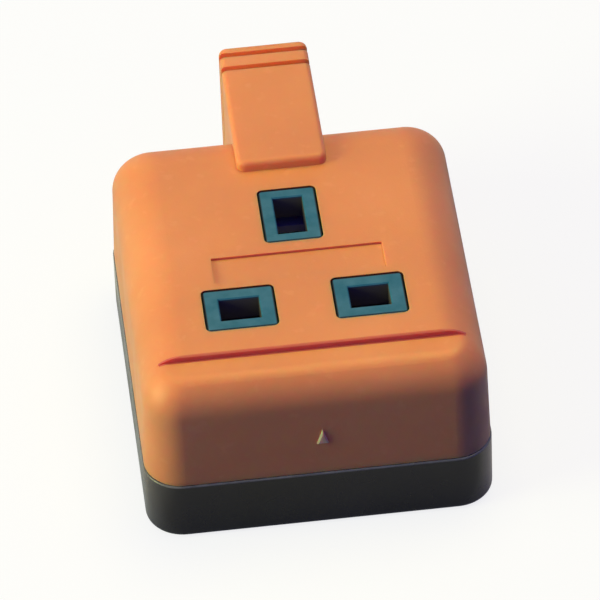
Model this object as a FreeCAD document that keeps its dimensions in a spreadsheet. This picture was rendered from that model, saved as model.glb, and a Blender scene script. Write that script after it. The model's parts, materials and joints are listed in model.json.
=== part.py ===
import FreeCAD, Part
import math
import os
import re
import Sketcher
from FreeCAD import Placement, Rotation, Vector

# Trailing socket: an orange cover on a black base, three framed pin apertures,
# and a cord entry tongue at the rear. Millimetres, +Z up, +Y towards the cord.
# The origin is the centre of the whole outline, on the surface it stands on.

SIZES = [
    # Case
    ("body_width", 60.0),
    ("body_length", 66.4),
    ("body_height", 34.2),
    ("base_height", 11.9),
    ("plan_round", 6.6),
    ("top_corner", 1.5),
    ("crown_round", 7.8),
    ("draft_angle", 1.7),
    ("ledge", 0.15),
    ("cover_wall", 2.6),
    ("roof", 2.6),
    ("hollow_bend", 3.0),
    ("step_setback", 8.7),
    ("step_drop", 1.2),
    ("step_bevel", 0.3),
    ("shelf_round", 3.0),
    ("base_floor", 2.5),
    ("base_edge_round", 1.0),
    ("seam_round", 0.3),
    ("lip_height", 2.0),
    ("lip_wall", 1.3),
    ("lip_gap", 0.15),
    # Cord entry tongue
    ("tongue_width", 15.7),
    ("tongue_reach", 18.2),
    ("tongue_overlap", 13.0),
    ("tongue_rise", 2.0),
    ("tongue_corner", 1.5),
    ("tongue_edge", 0.9),
    ("tongue_wall", 2.2),
    ("tongue_end_wall", 8.0),
    ("groove_width", 1.15),
    ("groove_depth", 0.95),
    ("groove_setback", 2.3),
    ("groove_pitch", 3.6),
    ("cord_bore", 9.6),
    ("entry_wall", 1.0),
    ("entry_gap", 0.2),
    # Pin apertures and their collars
    ("pin_pitch", 22.225),
    ("pin_row_setback", 19.25),
    ("line_slot_width", 6.9),
    ("line_slot_length", 5.2),
    ("earth_slot_width", 5.1),
    ("earth_slot_length", 9.1),
    ("line_collar_width", 12.15),
    ("line_collar_length", 9.9),
    ("earth_collar_width", 9.85),
    ("earth_collar_length", 13.2),
    ("collar_round", 0.8),
    ("collar_sink", 0.1),
    ("collar_chamfer", 0.2),
    ("window_gap", 0.2),
    ("label_width", 29.5),
    ("label_length", 6.2),
    ("label_depth", 0.5),
    ("label_setback", 9.85),
    # Moulding mark on the front wall
    ("pip_width", 2.6),
    ("pip_tall", 3.9),
    ("pip_rise", 0.3),
    ("pip_root", 0.2),
    ("pip_slope", 40.0),
    ("pip_level", 18.5),
    ("pip_shift", 0.4),
    # Socket insert and shutter
    ("insert_width", 37.2),
    ("insert_margin", 6.6),
    ("insert_plate", 2.2),
    ("skirt_wall", 1.6),
    ("ear_width", 7.2),
    ("ear_edge", 1.0),
    ("ear_plate", 2.0),
    ("ear_offset", 3.2),
    ("shutter_gap", 0.3),
    ("shutter_plate", 2.0),
    ("shutter_side_gap", 0.6),
    ("shutter_cover", 1.0),
    ("shutter_travel", 6.0),
    ("shutter_arm", 3.0),
    ("cam_width", 7.6),
    ("cam_land", 2.4),
    ("earth_pin_length", 8.0),
    ("cam_gap", 0.1),
    ("retainer_plate", 1.6),
    ("retainer_margin", 0.6),
    ("spring_wire", 0.45),
    ("spring_diameter", 3.4),
    ("spring_turns", 6),
    ("spring_clearance", 0.7),
    ("lug_length", 1.2),
    ("lug_gap", 0.4),
    ("peg_diameter", 1.8),
    ("peg_reach", 1.1),
    ("insert_screw", 2.5),
    ("insert_screw_head", 4.6),
    ("insert_screw_bite", 3.3),
    ("insert_boss", 5.4),
    ("boss_gap", 0.3),
    # Contacts and terminals
    ("seat_level", 7.0),
    ("seat_margin", 1.25),
    ("contact_metal", 0.8),
    ("contact_open", 2.6),
    ("contact_waist", 1.75),
    ("contact_flare", 3.0),
    ("contact_top", 21.5),
    ("contact_waist_drop", 3.0),
    ("contact_shoulder_drop", 5.0),
    ("line_contact_width", 6.4),
    ("earth_contact_width", 8.0),
    ("band_metal", 0.5),
    ("band_gap", 0.1),
    ("band_level", 12.5),
    ("band_tall", 3.0),
    ("well_gap", 0.4),
    ("well_wall", 1.5),
    ("well_top", 19.5),
    ("strip_width", 6.5),
    ("line_terminal_reach", 13.0),
    ("earth_terminal_reach", 10.5),
    ("terminal_side", 7.0),
    ("terminal_tall", 8.0),
    ("wire_hole", 4.2),
    ("wire_hole_level", 3.4),
    ("terminal_screw", 3.9),
    ("terminal_screw_head", 6.0),
    ("terminal_head_tall", 2.0),
    ("head_gap", 0.3),
    ("slot_width", 0.9),
    ("slot_depth", 1.0),
    ("fixing_screw", 2.9),
    ("fixing_head", 5.0),
    ("fixing_head_tall", 1.6),
    ("fixing_reach", 6.4),
    ("earth_fixing_reach", 7.6),
    ("screw_clearance", 0.1),
    ("hole_clearance", 0.3),
    # Cord clamp
    ("clamp_setback", 7.7),
    ("clamp_span", 18.0),
    ("clamp_length", 5.8),
    ("clamp_plate", 2.6),
    ("clamp_arch", 2.0),
    ("clamp_end", 3.0),
    ("clamp_post", 6.4),
    ("clamp_post_top", 15.2),
    ("clamp_screw", 3.0),
    ("clamp_screw_head", 5.6),
    ("clamp_screw_length", 10.5),
    ("saddle_length", 4.0),
    # Case screws
    ("case_inset_side", 8.0),
    ("case_inset_front", 7.3),
    ("case_inset_rear", 8.0),
    ("case_screw", 3.5),
    ("case_head", 6.4),
    ("case_head_tall", 2.4),
    ("case_head_sink", 1.2),
    ("case_screw_length", 17.4),
    ("case_pillar", 10.0),
    ("case_boss", 8.6),
    ("bush_diameter", 5.6),
    ("bush_length", 7.0),
    ("seat_gap", 0.3),
]
SIZE_NAMES = [name for name, value in SIZES]

# Outlines between which the rounded top is drawn
CROWN_STEPS = 6

doc = FreeCAD.newDocument("trailing_socket")
sheet = doc.addObject("Spreadsheet::Sheet", "Sizes")
for row, (name, value) in enumerate(SIZES, start=1):
    sheet.set(f"A{row}", name)
    sheet.set(f"B{row}", str(value))
    sheet.setAlias(f"B{row}", name)
doc.recompute()

# Places along Y
FRONT = "(-(body_length + tongue_reach) / 2)"
REAR = "((body_length - tongue_reach) / 2)"
END = "((body_length + tongue_reach) / 2)"
ROW = f"({FRONT} + pin_row_setback)"
EARTH = f"({ROW} + pin_pitch)"
STEP = f"({FRONT} + step_setback)"
LABEL = f"({ROW} + label_setback)"
TONGUE_START = f"({REAR} - tongue_overlap)"
CLAMP = f"({REAR} - clamp_setback)"
INSERT_FRONT = f"({ROW} - insert_margin)"
INSERT_REAR = f"({EARTH} + earth_collar_length / 2 + roof)"
EAR = f"({ROW} + ear_offset)"
LINE_TERMINAL = f"({ROW} + line_terminal_reach)"
EARTH_TERMINAL = f"({EARTH} + earth_terminal_reach)"
CASE_FRONT = f"({FRONT} + case_inset_front)"
CASE_REAR = f"({REAR} - case_inset_rear)"

# Places across X
LINE = "(pin_pitch / 2)"
CASE_SIDE = "(body_width / 2 - case_inset_side)"
EAR_SIDE = "(insert_width / 2 + boss_gap + insert_boss / 2)"
EAR_TIP = f"({EAR_SIDE} + insert_screw / 2 + ear_edge)"

# The block with the cord's hole, round the bore
ENTRY_SIDE = "(cord_bore / 2 + entry_wall)"
ENTRY_TOP = f"(base_height + {ENTRY_SIDE})"

# Levels
CEILING = "(body_height - roof)"
TONGUE_TOP = "(body_height + tongue_rise)"
INSERT_UNDER = f"({CEILING} - insert_plate)"
SHUTTER_TOP = f"({INSERT_UNDER} - shutter_gap)"
SHUTTER_UNDER = f"({SHUTTER_TOP} - shutter_plate)"
RETAINER_TOP = f"({SHUTTER_UNDER} - shutter_gap)"
RETAINER_UNDER = f"({RETAINER_TOP} - retainer_plate)"
EAR_TOP = f"({RETAINER_TOP} + ear_plate)"
BOSS_UNDER = "(base_height + lip_height + seat_gap)"
STRIP_TOP = "(seat_level + contact_metal)"
TERMINAL_TOP = f"({STRIP_TOP} + terminal_tall)"
CROWN_LEVEL = "(body_height - crown_round)"

# Wall lines
COVER_SIDE = "(body_width / 2 - ledge)"
COVER_FRONT = f"({FRONT} + ledge)"
COVER_REAR = f"({REAR} - ledge)"
LEAN = f"(({CROWN_LEVEL} - base_height) * tan(draft_angle))"
INNER = "(ledge + cover_wall)"
LIP_OUTER = f"({INNER} + lip_gap)"
LIP_INNER = f"({LIP_OUTER} + lip_wall)"

# Wells round the contacts
WELL_REACH = "(contact_open + contact_metal + band_gap + band_metal + well_gap)"
WELL_SIDE = "(line_contact_width / 2 + band_gap + band_metal + well_gap)"

# Shutter: the earth pin pushes the cam towards the front by the travel
CAM_REAR = f"({EARTH} - earth_pin_length / 2 - cam_gap + shutter_travel)"
CAM_CREST = f"({CAM_REAR} - shutter_travel)"
CAM_FRONT = f"({CAM_CREST} - cam_land)"
CAM_UNDER = f"({SHUTTER_TOP} - shutter_travel - cam_gap)"
BAR_FRONT = f"({ROW} - line_slot_length / 2 - shutter_cover)"
BAR_REAR = f"({BAR_FRONT} + shutter_cover + shutter_travel)"
LUG_FRONT = f"({BAR_REAR} + lug_gap)"
LUG_REAR = f"({LUG_FRONT} + lug_length)"
SPRING_LEVEL = f"({INSERT_UNDER} - spring_diameter / 2 - shutter_gap)"
SLOT_SIDE = "(spring_diameter / 2 + spring_clearance)"


def bound(text):
    """Put the sheet's name before each size in an expression."""
    return re.sub(r"[a-z]\w*", lambda word: sized(word.group()), text)


def sized(word):
    return f"Sizes.{word}" if word in SIZE_NAMES else word


def number(text):
    """The value that an expression has now."""
    return float(sheet.evalExpression(bound(text)))


def new_body(label):
    body = doc.addObject("PartDesign::Body", label)
    body.Label = label
    return body


def new_sketch(body, name, role="XY_Plane", offset="0"):
    plane = [item for item in body.Origin.OriginFeatures if item.Role == role][0]
    sketch = body.newObject("Sketcher::SketchObject", name)
    sketch.AttachmentSupport = [(plane, "")]
    sketch.MapMode = "FlatFace"
    sketch.setExpression("AttachmentOffset.Base.z", bound(offset))
    return sketch


def fix_point(sketch, geometry, position, across, up):
    """Hold a sketch point at an expression for each coordinate."""
    for kind, text in (("DistanceX", across), ("DistanceY", up)):
        constraint = Sketcher.Constraint(kind, -1, 1, geometry, position, number(text))
        index = sketch.addConstraint(constraint)
        sketch.setExpression(f"Constraints[{index}]", bound(text))


def polygon(sketch, points):
    """A closed outline of straight lines through points given as expressions."""
    corners = [Vector(number(across), number(up), 0) for across, up in points]
    first = sketch.GeometryCount
    count = len(corners)
    for index in range(count):
        line = Part.LineSegment(corners[index], corners[(index + 1) % count])
        sketch.addGeometry(line, False)
    for index in range(count):
        after = first + (index + 1) % count
        sketch.addConstraint(Sketcher.Constraint("Coincident", first + index, 2, after, 1))
    for index, (across, up) in enumerate(points):
        fix_point(sketch, first + index, 1, across, up)


def rectangle(sketch, left, low, right, high):
    polygon(sketch, [(left, low), (right, low), (right, high), (left, high)])


def circle(sketch, across, up, radius):
    centre = Vector(number(across), number(up), 0)
    ring = Part.Circle(centre, Vector(0, 0, 1), number(radius))
    index = sketch.addGeometry(ring, False)
    fix_point(sketch, index, 3, across, up)
    size = sketch.addConstraint(Sketcher.Constraint("Radius", index, number(radius)))
    sketch.setExpression(f"Constraints[{size}]", bound(radius))


def rounded_rectangle(sketch, left, low, right, high, radius):
    """A rectangle whose four corners are quarter circles."""
    west, south, east, north = (number(text) for text in (left, low, right, high))
    bend = number(radius)
    runs = [
        ((west + bend, south), (east - bend, south)),
        ((east, south + bend), (east, north - bend)),
        ((east - bend, north), (west + bend, north)),
        ((west, north - bend), (west, south + bend)),
    ]
    centres = [
        (east - bend, south + bend),
        (east - bend, north - bend),
        (west + bend, north - bend),
        (west + bend, south + bend),
    ]
    first = sketch.GeometryCount
    for index in range(4):
        start, stop = (Vector(x, y, 0) for x, y in runs[index])
        sketch.addGeometry(Part.LineSegment(start, stop), False)
        ring = Part.Circle(Vector(*centres[index], 0), Vector(0, 0, 1), bend)
        turn = math.radians(90 * index - 90)
        sketch.addGeometry(Part.ArcOfCircle(ring, turn, turn + math.pi / 2), False)
    for index in range(8):
        after = first + (index + 1) % 8
        sketch.addConstraint(Sketcher.Constraint("Tangent", first + index, 2, after, 1))
    for index, kind in enumerate(("Horizontal", "Vertical", "Horizontal", "Vertical")):
        sketch.addConstraint(Sketcher.Constraint(kind, first + 2 * index))
    for index in (3, 5, 7):
        sketch.addConstraint(Sketcher.Constraint("Equal", first + 1, first + index))
    sides = [
        ("Radius", radius, (first + 1,)),
        ("DistanceY", low, (-1, 1, first, 1)),
        ("DistanceX", right, (-1, 1, first + 2, 1)),
        ("DistanceY", high, (-1, 1, first + 4, 1)),
        ("DistanceX", left, (-1, 1, first + 6, 1)),
    ]
    for kind, text, where in sides:
        index = sketch.addConstraint(Sketcher.Constraint(kind, *where, number(text)))
        sketch.setExpression(f"Constraints[{index}]", bound(text))


def pad(body, sketch, length, taper=None, backwards=False, merge=False):
    """Raise a sketch along its normal. Merge joins faces that come out flush."""
    feature = body.newObject("PartDesign::Pad", f"{sketch.Name}_pad")
    feature.Profile = sketch
    feature.Refine = merge
    feature.Reversed = backwards
    feature.setExpression("Length", bound(length))
    if taper:
        feature.setExpression("TaperAngle", bound(taper))
    return feature


def pocket(body, sketch, length, taper=None, upwards=False):
    """Cut a sketch into the body: against its normal, or along it with upwards."""
    feature = body.newObject("PartDesign::Pocket", f"{sketch.Name}_cut")
    feature.Profile = sketch
    feature.Refine = False
    feature.Reversed = upwards
    feature.setExpression("Length", bound(length))
    if taper:
        feature.setExpression("TaperAngle", bound(taper))
    return feature


def dress(body, kind, name, amount, chosen):
    """Round or chamfer the edges of the body's last feature that are chosen."""
    doc.recompute()
    base = body.Tip
    edges = []
    for index, edge in enumerate(base.Shape.Edges, start=1):
        if chosen(edge):
            edges.append(f"Edge{index}")
    if not edges:
        raise RuntimeError(f"{body.Label}: no edge found for {name}")
    feature = body.newObject(f"PartDesign::{kind}", name)
    feature.Base = (base, edges)
    feature.setExpression("Radius" if kind == "Fillet" else "Size", bound(amount))
    return feature


def at_level(text, near=0.01):
    """Choose the edges that lie flat at one height."""
    level = number(text)

    def chosen(edge):
        box = edge.BoundBox
        return abs(box.ZMin - level) < near and abs(box.ZMax - level) < near
    return chosen


def bore_through(body, name, places, level, depth, radius):
    """Round holes that go down from a level, one for each place."""
    sketch = new_sketch(body, name, offset=level)
    for across, along in places:
        circle(sketch, across, along, radius)
    return pocket(body, sketch, depth)


def case_screw_places():
    return [(side, along) for side in (f"-{CASE_SIDE}", CASE_SIDE)
            for along in (CASE_FRONT, CASE_REAR)]


def ear_places():
    return [(f"-{EAR_SIDE}", EAR), (EAR_SIDE, EAR)]


def clamp_places():
    return [("-clamp_span / 2", CLAMP), ("clamp_span / 2", CLAMP)]


def fixing_places():
    return [
        (LINE, f"{ROW} + fixing_reach"),
        (f"-{LINE}", f"{ROW} + fixing_reach"),
        ("0", f"{EARTH} - earth_fixing_reach"),
    ]


def pin_slots(sketch, grow="0"):
    """The three pin apertures, each side moved out by the same amount."""
    for side in (f"-{LINE}", LINE):
        rectangle(sketch, f"{side} - line_slot_width / 2 - {grow}",
                  f"{ROW} - line_slot_length / 2 - {grow}",
                  f"{side} + line_slot_width / 2 + {grow}",
                  f"{ROW} + line_slot_length / 2 + {grow}")
    rectangle(sketch, f"-earth_slot_width / 2 - {grow}",
              f"{EARTH} - earth_slot_length / 2 - {grow}",
              f"earth_slot_width / 2 + {grow}",
              f"{EARTH} + earth_slot_length / 2 + {grow}")


def collar_outlines(sketch, grow="0"):
    """The three collar outlines, each side moved out by the same amount."""
    frames = [
        (f"-{LINE}", ROW, "line_collar_width", "line_collar_length"),
        (LINE, ROW, "line_collar_width", "line_collar_length"),
        ("0", EARTH, "earth_collar_width", "earth_collar_length"),
    ]
    for across, along, wide, tall in frames:
        rounded_rectangle(sketch, f"{across} - {wide} / 2 - {grow}",
                          f"{along} - {tall} / 2 - {grow}",
                          f"{across} + {wide} / 2 + {grow}",
                          f"{along} + {tall} / 2 + {grow}",
                          f"collar_round + {grow}")


def grip_grooves(body, low, high, top_too):
    """Two grooves round the tongue's end, cut by one sketch and repeated."""
    sketch = new_sketch(body, "groove", "XZ_Plane",
                        f"-({END} - groove_setback + groove_width / 2)")
    side = "tongue_width / 2"
    if top_too:
        polygon(sketch, [
            (f"-{side} - 1", low), (f"-{side} + groove_depth", low),
            (f"-{side} + groove_depth", f"{high} - groove_depth"),
            (f"{side} - groove_depth", f"{high} - groove_depth"),
            (f"{side} - groove_depth", low), (f"{side} + 1", low),
            (f"{side} + 1", f"{high} + 1"), (f"-{side} - 1", f"{high} + 1"),
        ])
    else:
        rectangle(sketch, f"-{side} - 1", low, f"-{side} + groove_depth", high)
        rectangle(sketch, f"{side} - groove_depth", low, f"{side} + 1", high)
    feature = pocket(body, sketch, "groove_width", upwards=True)
    pattern = body.newObject("PartDesign::LinearPattern", "groove_pair")
    pattern.Originals = [feature]
    axis = [item for item in body.Origin.OriginFeatures if item.Role == "Y_Axis"][0]
    pattern.Direction = (axis, [""])
    pattern.Reversed = True
    pattern.setExpression("Length", bound("groove_pitch"))
    pattern.Occurrences = 2
    body.Tip = pattern


def add_crown(body):
    """The rounded top: outlines that follow a quarter circle up and inwards."""
    outlines = []
    for index in range(CROWN_STEPS + 1):
        turn = 90 * index / CROWN_STEPS
        rise = f"{CROWN_LEVEL} + crown_round * sin({turn})"
        sketch = new_sketch(body, f"crown_{index}", offset=rise)
        inset = f"(ledge + {LEAN} + crown_round * (1 - cos({turn})))"
        bend = f"(plan_round - {LEAN})"
        bend = f"({bend} - ({bend} - top_corner) * (1 - cos({turn})))"
        rounded_rectangle(sketch, f"-body_width / 2 + {inset}", f"{FRONT} + {inset}",
                          f"body_width / 2 - {inset}", f"{REAR} - {inset}", bend)
        outlines.append(sketch)
    crown = body.newObject("PartDesign::AdditiveLoft", "crown")
    crown.Profile = outlines[0]
    crown.Sections = outlines[1:]
    crown.Refine = False
    return crown


def shelf_rim(edge):
    """Choose the edge where the shelf in front of the step meets the crown."""
    box = edge.BoundBox
    shelf = number("body_height - step_drop")
    flat = abs(box.ZMin - shelf) < 0.01 and abs(box.ZMax - shelf) < 0.01
    return flat and box.YMin < number(STEP) - 0.01


def make_top_cover():
    body = new_body("top_cover")
    outline = new_sketch(body, "outline", offset="base_height")
    rounded_rectangle(outline, f"-{COVER_SIDE}", COVER_FRONT, COVER_SIDE, COVER_REAR,
                      "plan_round")
    pad(body, outline, f"{CROWN_LEVEL} - base_height", taper="-draft_angle")
    add_crown(body)

    tongue = new_sketch(body, "tongue", offset="base_height")
    rounded_rectangle(tongue, "-tongue_width / 2", TONGUE_START, "tongue_width / 2", END,
                      "tongue_corner")
    pad(body, tongue, f"{TONGUE_TOP} - base_height", merge=True)
    dress(body, "Fillet", "tongue_top", "tongue_edge", at_level(TONGUE_TOP))
    dress(body, "Fillet", "seam", "seam_round", at_level("base_height"))

    # The front of the top is one step lower, and the step runs out in the side curves
    shelf = new_sketch(body, "shelf", "YZ_Plane", "-body_width / 2 - 1")
    polygon(shelf, [
        (f"{FRONT} - 1", "body_height - step_drop"), (STEP, "body_height - step_drop"),
        (STEP, "body_height - step_bevel"), (f"{STEP} + step_bevel", "body_height"),
        (f"{STEP} + step_bevel", "body_height + 1"), (f"{FRONT} - 1", "body_height + 1"),
    ])
    pocket(body, shelf, "body_width + 2", upwards=True)
    dress(body, "Fillet", "shelf_edge", "shelf_round", shelf_rim)

    # Inside: one hollow with the same draft as the outside, and the tongue's channel
    hollow = new_sketch(body, "hollow", offset="base_height")
    rounded_rectangle(hollow, f"-body_width / 2 + {INNER}", f"{FRONT} + {INNER}",
                      f"body_width / 2 - {INNER}", f"{REAR} - {INNER}",
                      "plan_round - cover_wall")
    pocket(body, hollow, f"{CEILING} - base_height", taper="-draft_angle", upwards=True)
    dress(body, "Fillet", "hollow_round", "hollow_bend", at_level(CEILING))
    backing = new_sketch(body, "backing", offset=f"{CEILING} - step_drop")
    rectangle(backing, "-insert_width / 2", f"{FRONT} + crown_round", "insert_width / 2",
              f"{INSERT_FRONT} - seat_gap")
    pad(body, backing, "step_drop + roof / 4")
    channel = new_sketch(body, "channel", offset="base_height")
    rectangle(channel, "-tongue_width / 2 + tongue_wall", f"{REAR} - {LIP_INNER}",
              "tongue_width / 2 - tongue_wall", f"{END} - tongue_end_wall")
    pocket(body, channel, f"{TONGUE_TOP} - roof - base_height", upwards=True)
    entry = new_sketch(body, "entry", "XZ_Plane", f"-{END}")
    rectangle(entry, f"-{ENTRY_SIDE} - entry_gap", "base_height - 1",
              f"{ENTRY_SIDE} + entry_gap", f"{ENTRY_TOP} + entry_gap")
    pocket(body, entry, "tongue_end_wall + 1", upwards=True)

    # Bosses hang from the roof over the case screws and the insert's ears
    bosses = new_sketch(body, "bosses", offset=BOSS_UNDER)
    for across, along in case_screw_places():
        circle(bosses, across, along, "case_boss / 2")
    pad(body, bosses, f"{CEILING} - {BOSS_UNDER}")
    ears = new_sketch(body, "ear_bosses", offset=f"{EAR_TOP} + seat_gap")
    for across, along in ear_places():
        circle(ears, across, along, "insert_boss / 2")
    pad(body, ears, f"{CEILING} - {EAR_TOP} - seat_gap")
    bush_seats = new_sketch(body, "bush_seats", offset=BOSS_UNDER)
    for across, along in case_screw_places():
        circle(bush_seats, across, along, "bush_diameter / 2 + screw_clearance / 2")
    pocket(body, bush_seats, "bush_length + seat_gap", upwards=True)
    tips = new_sketch(body, "screw_tips", offset=BOSS_UNDER)
    for across, along in case_screw_places():
        circle(tips, across, along, "case_screw / 2 + screw_clearance / 2")
    pocket(body, tips, "bush_length + 3 * seat_gap + case_screw", upwards=True)
    bites = new_sketch(body, "insert_screw_holes", offset=f"{EAR_TOP} + seat_gap")
    for across, along in ear_places():
        circle(bites, across, along, "insert_screw / 2 + screw_clearance / 2")
    pocket(body, bites, "insert_screw_bite", upwards=True)

    # Windows for the collars, and the bare recess for a name
    windows = new_sketch(body, "windows", offset="body_height + 1")
    collar_outlines(windows, "window_gap")
    pocket(body, windows, "roof + 2")
    label = new_sketch(body, "label", offset="body_height")
    rectangle(label, "-label_width / 2", f"{LABEL} - label_length / 2", "label_width / 2",
              f"{LABEL} + label_length / 2")
    pocket(body, label, "label_depth")
    grip_grooves(body, "base_height - 1", TONGUE_TOP, True)

    # A small three-sided mark stands on the front wall
    rise = "(pip_level - base_height)"
    pip = new_sketch(body, "pip", "XZ_Plane",
                     f"-({COVER_FRONT} + {rise} * tan(draft_angle) + pip_root)")
    polygon(pip, [("pip_shift - pip_width / 2", "pip_level"),
                  ("pip_shift + pip_width / 2", "pip_level"),
                  ("pip_shift", "pip_level + pip_tall")])
    pad(body, pip, "pip_rise + pip_root", taper="-pip_slope")
    return body


def make_base():
    body = new_body("base")
    tray = new_sketch(body, "tray")
    rounded_rectangle(tray, "-body_width / 2", FRONT, "body_width / 2", REAR, "plan_round")
    pad(body, tray, "base_height")
    tongue = new_sketch(body, "tongue")
    rounded_rectangle(tongue, "-tongue_width / 2", TONGUE_START, "tongue_width / 2", END,
                      "tongue_corner")
    pad(body, tongue, "base_height", merge=True)
    dress(body, "Fillet", "foot_round", "base_edge_round", at_level("0"))
    dress(body, "Fillet", "seam", "seam_round", at_level("base_height"))

    lip = new_sketch(body, "lip", offset="base_height")
    rounded_rectangle(lip, f"-body_width / 2 + {LIP_OUTER}", f"{FRONT} + {LIP_OUTER}",
                      f"body_width / 2 - {LIP_OUTER}", f"{REAR} - {LIP_OUTER}",
                      f"plan_round - {LIP_OUTER}")
    pad(body, lip, "lip_height")
    hollow = new_sketch(body, "hollow", offset="base_height + lip_height")
    rounded_rectangle(hollow, f"-body_width / 2 + {LIP_INNER}", f"{FRONT} + {LIP_INNER}",
                      f"body_width / 2 - {LIP_INNER}", f"{REAR} - {LIP_INNER}",
                      f"plan_round - {LIP_INNER}")
    pocket(body, hollow, "base_height + lip_height - base_floor")
    channel = new_sketch(body, "channel", offset="base_height + lip_height")
    rectangle(channel, "-tongue_width / 2 + tongue_wall", f"{REAR} - 2 * {LIP_INNER}",
              "tongue_width / 2 - tongue_wall", f"{END} - tongue_end_wall")
    pocket(body, channel, "base_height + lip_height - base_floor")

    # Pillars for the case screws, recessed from below for their heads
    pillars = new_sketch(body, "pillars", offset="base_floor - 1")
    for across, along in case_screw_places():
        circle(pillars, across, along, "case_pillar / 2")
    pad(body, pillars, "base_height + lip_height - base_floor + 1")
    trim = new_sketch(body, "pillar_trim", offset="base_height")
    rectangle(trim, "-body_width", f"2 * {FRONT}", "body_width", f"2 * {END}")
    rounded_rectangle(trim, f"-body_width / 2 + {LIP_OUTER}", f"{FRONT} + {LIP_OUTER}",
                      f"body_width / 2 - {LIP_OUTER}", f"{REAR} - {LIP_OUTER}",
                      f"plan_round - {LIP_OUTER}")
    pocket(body, trim, "lip_height + 1", upwards=True)
    recesses = new_sketch(body, "head_recesses")
    for across, along in case_screw_places():
        circle(recesses, across, along, "case_head / 2 + hole_clearance")
    pocket(body, recesses, "case_head_sink + case_head_tall", upwards=True)
    bore_through(body, "case_holes", case_screw_places(), "base_height + lip_height",
                 "base_height + lip_height", "case_screw / 2 + hole_clearance / 2")

    # Seats that carry the contacts and terminals, and wells that steady the contacts
    seats = new_sketch(body, "seats", offset="base_floor - 1")
    half = "(strip_width / 2 + seat_margin)"
    for side in (f"-{LINE}", LINE):
        rectangle(seats, f"{side} - {half}", f"{ROW} - {WELL_REACH}", f"{side} + {half}",
                  f"{LINE_TERMINAL} + terminal_side / 2 + seat_margin")
    rectangle(seats, f"-{half}", f"{EARTH} - earth_fixing_reach - fixing_head", half,
              f"{EARTH_TERMINAL} + terminal_side / 2")
    pad(body, seats, "seat_level - base_floor + 1")
    wells = new_sketch(body, "wells", offset="seat_level - 1")
    for side in (f"-{LINE}", LINE):
        polygon(wells, [
            (f"{side} - {WELL_SIDE} - well_wall", f"{ROW} - {WELL_REACH} - well_wall"),
            (f"{side} + {WELL_SIDE} + well_wall", f"{ROW} - {WELL_REACH} - well_wall"),
            (f"{side} + {WELL_SIDE} + well_wall", f"{ROW} + contact_open"),
            (f"{side} + {WELL_SIDE}", f"{ROW} + contact_open"),
            (f"{side} + {WELL_SIDE}", f"{ROW} - {WELL_REACH}"),
            (f"{side} - {WELL_SIDE}", f"{ROW} - {WELL_REACH}"),
            (f"{side} - {WELL_SIDE}", f"{ROW} + contact_open"),
            (f"{side} - {WELL_SIDE} - well_wall", f"{ROW} + contact_open"),
        ])
    for sign in ("-", ""):
        inner, outer = f"{sign}{WELL_REACH}", f"{sign}({WELL_REACH} + well_wall)"
        west, east = (outer, inner) if sign else (inner, outer)
        rectangle(wells, west, f"{EARTH} - earth_contact_width / 2", east,
                  f"{EARTH} + earth_contact_width / 2")
    pad(body, wells, "well_top - seat_level + 1")
    feet = new_sketch(body, "well_feet", offset="base_floor - 1")
    for side in (f"-{LINE}", LINE):
        rectangle(feet, f"{side} - {WELL_SIDE} - well_wall",
                  f"{ROW} - {WELL_REACH} - well_wall",
                  f"{side} + {WELL_SIDE} + well_wall", f"{ROW} + contact_open")
    rectangle(feet, f"-{WELL_REACH} - well_wall", f"{EARTH} - earth_contact_width / 2",
              f"{WELL_REACH} + well_wall", f"{EARTH} + earth_contact_width / 2")
    pad(body, feet, "seat_level - base_floor + 1")
    bore_through(body, "fixing_holes", fixing_places(), "seat_level",
                 "seat_level - base_floor - hole_clearance",
                 "fixing_screw / 2 + screw_clearance / 2")

    # Posts and a saddle for the cord clamp, and the block that the cord enters by
    posts = new_sketch(body, "clamp_posts", offset="base_floor - 1")
    for across, along in clamp_places():
        circle(posts, across, along, "clamp_post / 2")
    pad(body, posts, "clamp_post_top - base_floor + 1")
    saddle = new_sketch(body, "saddle", offset="base_floor - 1")
    rectangle(saddle, "-clamp_span / 2", f"{CLAMP} - saddle_length / 2", "clamp_span / 2",
              f"{CLAMP} + saddle_length / 2")
    pad(body, saddle, "base_height - base_floor")
    block = new_sketch(body, "entry_block", "XZ_Plane", f"-{END}")
    rectangle(block, f"-{ENTRY_SIDE}", "base_height - entry_wall", ENTRY_SIDE, ENTRY_TOP)
    pad(body, block, "tongue_end_wall", merge=True)
    entry = new_sketch(body, "entry", "XZ_Plane", f"-{END}")
    circle(entry, "0", "base_height", "cord_bore / 2")
    pocket(body, entry, f"{END} - {CLAMP} + saddle_length", upwards=True)
    bore_through(body, "clamp_holes", clamp_places(), "clamp_post_top",
                 "clamp_screw_length", "clamp_screw / 2 + screw_clearance / 2")
    grip_grooves(body, "base_edge_round", "base_height + 1", False)
    return body


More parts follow.
